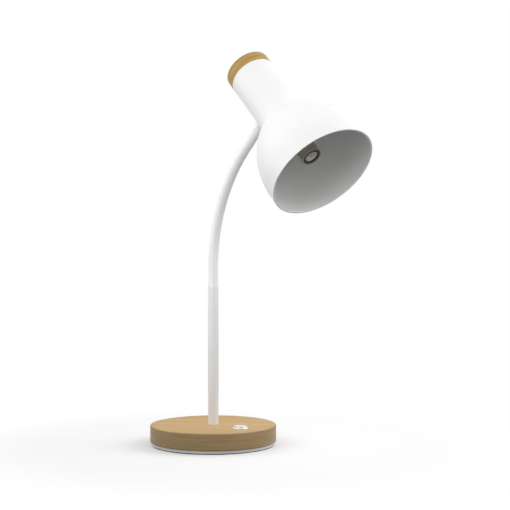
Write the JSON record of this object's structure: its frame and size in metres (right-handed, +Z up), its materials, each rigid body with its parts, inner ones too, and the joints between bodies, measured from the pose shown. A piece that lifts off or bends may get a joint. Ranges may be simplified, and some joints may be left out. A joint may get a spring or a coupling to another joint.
{
  "type": "desk lamp",
  "caption": "Desk lamp with a round wooden base, push switch, straight stem, bending gooseneck and a white bell shade with a wooden cap.",
  "frame": {"origin": "on the floor under the middle of the base", "axes": "+Z up, +X from the stem towards the shade, +Y to the lamp's left"},
  "size_m": [0.3041, 0.15, 0.4586],
  "materials": {
    "wood": "satin oiled",
    "white_paint": "satin white paint",
    "white_plastic": "smooth matte",
    "foot": "foam rubber",
    "iron": "as cast",
    "steel": "zinc plated",
    "bright_metal": "polished",
    "hose_metal": "turned",
    "holder_metal": "dark bronze",
    "thread_metal": "nickel plated",
    "contact_brass": "plain",
    "black_plastic": "moulded",
    "insulator": "glazed",
    "cable": "matte",
    "conductor": "insulated wire",
    "grommet": "soft"
  },
  "bodies": {
    "base": {"base_disc": "wood", "bottom_plate": "white_paint", "foot_pad": "foot", "counterweight": "iron", "weight_screws": "steel", "plate_screws": "steel", "cord_grommet": "grommet", "terminal_block": "insulator", "switch_wire": "conductor", "switch_bezel": "bright_metal", "switch_nut": "steel", "switch_body": "black_plastic", "switch_spring": "steel", "stem_nipple": "thread_metal", "stem_washer": "steel", "stem_nut": "steel", "stem_tube": "white_paint", "gooseneck_coupler": "bright_metal", "gooseneck_sleeve": "white_plastic", "lamp_cable": "cable"},
    "button": {"switch_button": "bright_metal"},
    "link_01": {"gooseneck_link_01": "hose_metal"},
    "link_02": {"gooseneck_link_02": "hose_metal"},
    "link_03": {"gooseneck_link_03": "hose_metal"},
    "link_04": {"gooseneck_link_04": "hose_metal"},
    "link_05": {"gooseneck_link_05": "hose_metal"},
    "link_06": {"gooseneck_link_06": "hose_metal"},
    "link_07": {"gooseneck_link_07": "hose_metal"},
    "link_08": {"gooseneck_link_08": "hose_metal"},
    "link_09": {"gooseneck_link_09": "hose_metal"},
    "link_10": {"gooseneck_link_10": "hose_metal"},
    "link_11": {"gooseneck_link_11": "hose_metal"},
    "link_12": {"gooseneck_link_12": "hose_metal"},
    "head": {"gooseneck_ferrule": "white_paint", "neck_washer": "steel", "neck_nut": "steel", "neck_tube": "white_paint", "shade_dome": "white_paint", "holder_plate": "steel", "plate_rivets": "steel", "holder_nipple": "thread_metal", "nipple_nut": "steel", "holder_sleeve": "holder_metal", "holder_collar": "black_plastic", "holder_insert": "insulator", "thread_shell": "thread_metal", "centre_contact": "contact_brass", "cap": "wood"}
  },
  "joints": [
    {"name": "gooseneck_bend_1", "type": "hinge", "parent": "base", "child": "link_01", "pos_m": [0, 0, 0.1952], "axis": [0.0001, 1, 0], "range_deg": [-6.5, 7], "deforming": ["gooseneck_sleeve", "lamp_cable"]},
    {"name": "gooseneck_sway_1", "type": "hinge", "parent": "link_01", "child": "link_02", "pos_m": [0, 0, 0.21181], "axis": [-1, 0, 0.0031], "range_deg": [-7, 7], "deforming": ["gooseneck_sleeve", "lamp_cable"]},
    {"name": "gooseneck_bend_2", "type": "hinge", "parent": "link_02", "child": "link_03", "pos_m": [0.00077, 0, 0.22839], "axis": [0.0001, 1, 0], "range_deg": [-6.5, 7], "deforming": ["gooseneck_sleeve", "lamp_cable"]},
    {"name": "gooseneck_sway_2", "type": "hinge", "parent": "link_03", "child": "link_04", "pos_m": [0.00296, 0, 0.24484], "axis": [-0.9847, 0, 0.1743], "range_deg": [-7, 7], "deforming": ["gooseneck_sleeve", "lamp_cable"]},
    {"name": "gooseneck_bend_3", "type": "hinge", "parent": "link_04", "child": "link_05", "pos_m": [0.00655, 0, 0.26105], "axis": [0.0001, 1, 0], "range_deg": [-6.5, 7], "deforming": ["gooseneck_sleeve", "lamp_cable"]},
    {"name": "gooseneck_sway_3", "type": "hinge", "parent": "link_05", "child": "link_06", "pos_m": [0.01152, 0, 0.27689], "axis": [-0.9403, 0, 0.3404], "range_deg": [-7, 7], "deforming": ["gooseneck_sleeve", "lamp_cable"]},
    {"name": "gooseneck_bend_4", "type": "hinge", "parent": "link_06", "child": "link_07", "pos_m": [0.01784, 0, 0.29224], "axis": [0.0001, 1, 0], "range_deg": [-6.5, 7], "deforming": ["gooseneck_sleeve", "lamp_cable"]},
    {"name": "gooseneck_sway_4", "type": "hinge", "parent": "link_07", "child": "link_08", "pos_m": [0.02545, 0, 0.30699], "axis": [-0.8681, 0, 0.4963], "range_deg": [-7, 7], "deforming": ["gooseneck_sleeve", "lamp_cable"]},
    {"name": "gooseneck_bend_5", "type": "hinge", "parent": "link_08", "child": "link_09", "pos_m": [0.0343, 0, 0.32104], "axis": [0.0001, 1, 0], "range_deg": [-6.5, 7], "deforming": ["gooseneck_sleeve", "lamp_cable"]},
    {"name": "gooseneck_sway_5", "type": "hinge", "parent": "link_09", "child": "link_10", "pos_m": [0.04433, 0, 0.33427], "axis": [-0.7703, 0, 0.6377], "range_deg": [-7, 7], "deforming": ["gooseneck_sleeve", "lamp_cable"]},
    {"name": "gooseneck_bend_6", "type": "hinge", "parent": "link_10", "child": "link_11", "pos_m": [0.05545, 0, 0.34659], "axis": [0.0001, 1, 0], "range_deg": [-6.5, 7], "deforming": ["gooseneck_sleeve", "lamp_cable"]},
    {"name": "gooseneck_sway_6", "type": "hinge", "parent": "link_11", "child": "link_12", "pos_m": [0.06728, 0, 0.35825], "axis": [-0.7009, 0, 0.7133], "range_deg": [-7, 7], "deforming": ["gooseneck_sleeve", "lamp_cable"]},
    {"name": "gooseneck_bend_7", "type": "hinge", "parent": "link_12", "child": "head", "pos_m": [0.07912, 0, 0.36989], "axis": [0.0001, 1, 0], "range_deg": [-6.5, 7], "deforming": ["gooseneck_sleeve", "lamp_cable"]},
    {"name": "switch_press", "type": "slide", "parent": "base", "child": "button", "axis": [0, 0, -1], "range_m": [0, 0.0014], "stiffness_N_per_m": 700, "springref_m": -0.002, "deforming": ["switch_spring"]}
  ]
}
